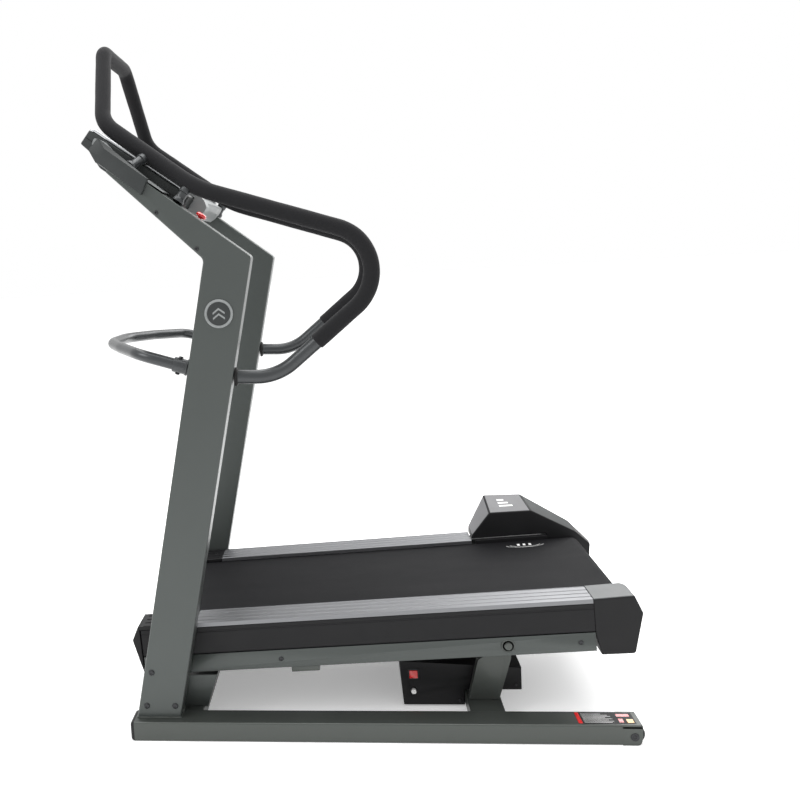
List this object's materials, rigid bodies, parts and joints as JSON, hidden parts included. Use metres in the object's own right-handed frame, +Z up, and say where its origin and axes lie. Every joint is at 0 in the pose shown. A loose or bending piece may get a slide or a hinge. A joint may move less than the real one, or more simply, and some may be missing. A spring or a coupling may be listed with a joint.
{
  "type": "incline treadmill",
  "caption": "Motorised incline trainer with a flat running deck hinged near its rear, leaning uprights, console, padded wrap-around handrail and rear drive hood.",
  "frame": {"origin": "on the floor under the middle of the whole machine", "axes": "+Z up, +X towards the rear end that the user steps on from, +Y towards the side with the tall drive hood"},
  "size_m": [1.4955, 0.908, 1.9538],
  "materials": {
    "frame_paint": "semi-gloss dark green-grey powder coat",
    "rail_paint": "dark grey powder coat",
    "black_plastic": "fine-grained moulded black",
    "dark_plastic": "satin charcoal moulding",
    "silver": "brushed, anodised silver",
    "light_plastic": "satin silver-grey",
    "steel": "turned and zinc plated",
    "foam": "soft closed-cell foam with fine pores",
    "belt": "woven-backed running belt, fine diamond grain",
    "rubber": "plain black rubber",
    "board": "coated fibreboard",
    "glass": "smoked display window",
    "red": "glossy red",
    "white": "glossy white"
  },
  "bodies": {
    "root": {"badge_far": "light_plastic", "badge_near": "light_plastic", "bar_sleeve_far": "frame_paint", "bar_sleeve_near": "frame_paint", "base_rail_far": "rail_paint", "base_rail_near": "rail_paint", "console_bezel": "silver", "console_cheek_far": "dark_plastic", "console_cheek_near": "dark_plastic", "console_chin": "light_plastic", "console_keypad": "dark_plastic", "console_screen": "glass", "console_shell": "dark_plastic", "control_box": "black_plastic", "estop_base": "dark_plastic", "front_bar": "frame_paint", "front_crossbeam": "rail_paint", "handrail_foam": "foam", "handrail_tube": "frame_paint", "lift_bracket": "rail_paint", "pivot_pin_far": "steel", "pivot_pin_near": "steel", "pivot_post_far": "rail_paint", "pivot_post_near": "rail_paint", "power_inlet": "black_plastic", "rail_cap_far": "black_plastic", "rail_cap_near": "black_plastic", "rail_post_front_far": "frame_paint", "rail_post_front_near": "frame_paint", "rail_post_rear_far": "frame_paint", "rail_post_rear_near": "frame_paint", "rear_crossbeam": "rail_paint", "upright_far": "frame_paint", "upright_near": "frame_paint"},
    "deck": {"deck_board": "board", "deck_cross_front": "rail_paint", "deck_cross_rear": "rail_paint", "deck_side_far": "frame_paint", "deck_side_near": "frame_paint", "drive_belt": "rubber", "drive_motor": "black_plastic", "foot_rail_far": "silver", "foot_rail_near": "silver", "lift_bar": "rail_paint", "nose_cover": "black_plastic", "rear_cap_near": "black_plastic", "rear_hood_far": "black_plastic", "running_belt": "belt", "side_skirt_far": "black_plastic", "side_skirt_near": "black_plastic"},
    "front_roller": {"front_roller": "steel"},
    "rear_roller": {"rear_roller": "steel"},
    "motor_pulley": {"motor_pulley": "steel"},
    "lift_body": {"lift_body": "black_plastic"},
    "lift_rod": {"lift_rod": "steel"},
    "estop_button": {"estop_button": "red"},
    "power_switch": {"power_switch": "red"},
    "reset_button": {"reset_button": "white"},
    "transport_wheel_near": {"transport_wheel_near": "rubber"},
    "transport_wheel_far": {"transport_wheel_far": "rubber"}
  },
  "joints": [
    {"name": "deck_incline", "type": "hinge", "parent": "root", "child": "deck", "pos_m": [0.3701, 0, 0.228], "axis": [0, 1, 0], "range_deg": [0, 25.2]},
    {"name": "front_roller_spin", "type": "hinge", "parent": "deck", "child": "front_roller", "pos_m": [-0.6175, 0, 0.25185], "axis": [0, 1, 0], "continuous": true},
    {"name": "rear_roller_spin", "type": "hinge", "parent": "deck", "child": "rear_roller", "pos_m": [0.66574, 0, 0.3191], "axis": [0, 1, 0], "continuous": true},
    {"name": "motor_spin", "type": "hinge", "parent": "deck", "child": "motor_pulley", "pos_m": [-0.50911, 0.265, 0.18993], "axis": [0, 1, 0], "continuous": true},
    {"name": "lift_swing", "type": "hinge", "parent": "root", "child": "lift_body", "pos_m": [0.1281, 0.13, 0.054], "axis": [0, 1, 0], "range_deg": [0, 33.9]},
    {"name": "lift_extend", "type": "slide", "parent": "lift_body", "child": "lift_rod", "axis": [-0.9754, 0, 0.2206], "range_m": [0, 0.123]},
    {"name": "estop_press", "type": "slide", "parent": "root", "child": "estop_button", "axis": [0.602, 0, 0.7985], "range_m": [-0.0035, 0], "stiffness_N_per_m": 1500},
    {"name": "power_rocker", "type": "hinge", "parent": "root", "child": "power_switch", "pos_m": [0.1201, -0.2405, 0.099], "axis": [1, 0, 0], "range_deg": [0, 16]},
    {"name": "reset_press", "type": "slide", "parent": "root", "child": "reset_button", "axis": [0, -1, 0], "range_m": [-0.002, 0], "stiffness_N_per_m": 600},
    {"name": "wheel_spin_near", "type": "hinge", "parent": "root", "child": "transport_wheel_near", "pos_m": [0.6681, -0.414, 0.027], "axis": [0, 1, 0], "continuous": true},
    {"name": "wheel_spin_far", "type": "hinge", "parent": "root", "child": "transport_wheel_far", "pos_m": [0.6681, 0.414, 0.027], "axis": [0, 1, 0], "continuous": true}
  ],
  "couplings": [
    {"joint": "rear_roller_spin", "follows": "front_roller_spin", "ratio": 1},
    {"joint": "motor_spin", "follows": "front_roller_spin", "ratio": 1.375},
    {"joint": "lift_swing", "follows": "deck_incline", "ratio": 1.318},
    {"joint": "lift_extend", "follows": "deck_incline", "m_per_rad": 0.2688}
  ]
}
